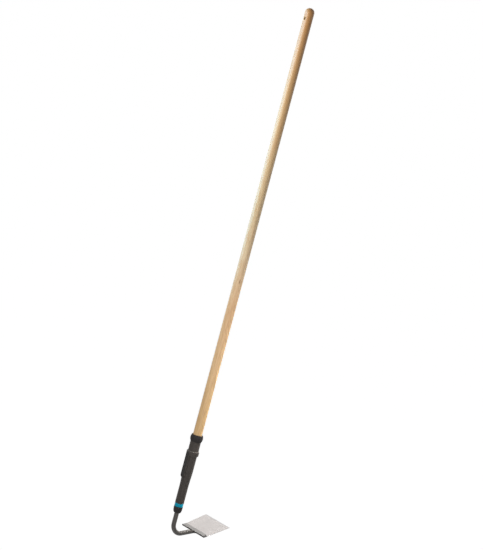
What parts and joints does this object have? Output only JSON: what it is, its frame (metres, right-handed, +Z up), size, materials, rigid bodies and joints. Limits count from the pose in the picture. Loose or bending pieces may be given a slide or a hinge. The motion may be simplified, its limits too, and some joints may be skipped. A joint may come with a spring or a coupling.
{
  "type": "garden hoe",
  "caption": "Long handled garden draw hoe: round wooden shaft with a hang hole, dark moulded sleeve with collar and coloured ring, bent steel neck and flat trapezoid blade with a folded heel.",
  "frame": {"origin": "centre of the hang hole near the top of the wooden shaft", "axes": "+Z up along the shaft's axis towards its top, +X forwards the way the blade points, Y across the blade"},
  "size_m": [0.1885, 0.12, 1.65],
  "materials": {
    "ash": "pale ash under a thin satin varnish, grain along the shaft",
    "sleeve_plastic": "dark brown grey moulded plastic, finely textured",
    "collar_rubber": "soft matt rubber, nearly black with a blue cast",
    "badge_plastic": "smooth satin black, left bare",
    "accent_plastic": "semi gloss teal",
    "nose_plastic": "black moulded plastic, satin",
    "neck_paint": "dark grey semi gloss lacquer over steel bar",
    "blade_steel": "fine brushed steel, clear lacquered, ground edge",
    "weld_metal": "small weld beads under the neck's lacquer",
    "screw_steel": "bright zinc plating"
  },
  "bodies": {
    "root": {"handle": "ash", "sleeve": "sleeve_plastic", "collar": "collar_rubber", "badge_plate": "badge_plastic", "accent_ring": "accent_plastic", "nose": "nose_plastic", "neck": "neck_paint", "blade": "blade_steel", "weld_upper": "weld_metal", "weld_lower": "weld_metal", "handle_screw": "screw_steel"}
  },
  "joints": []
}
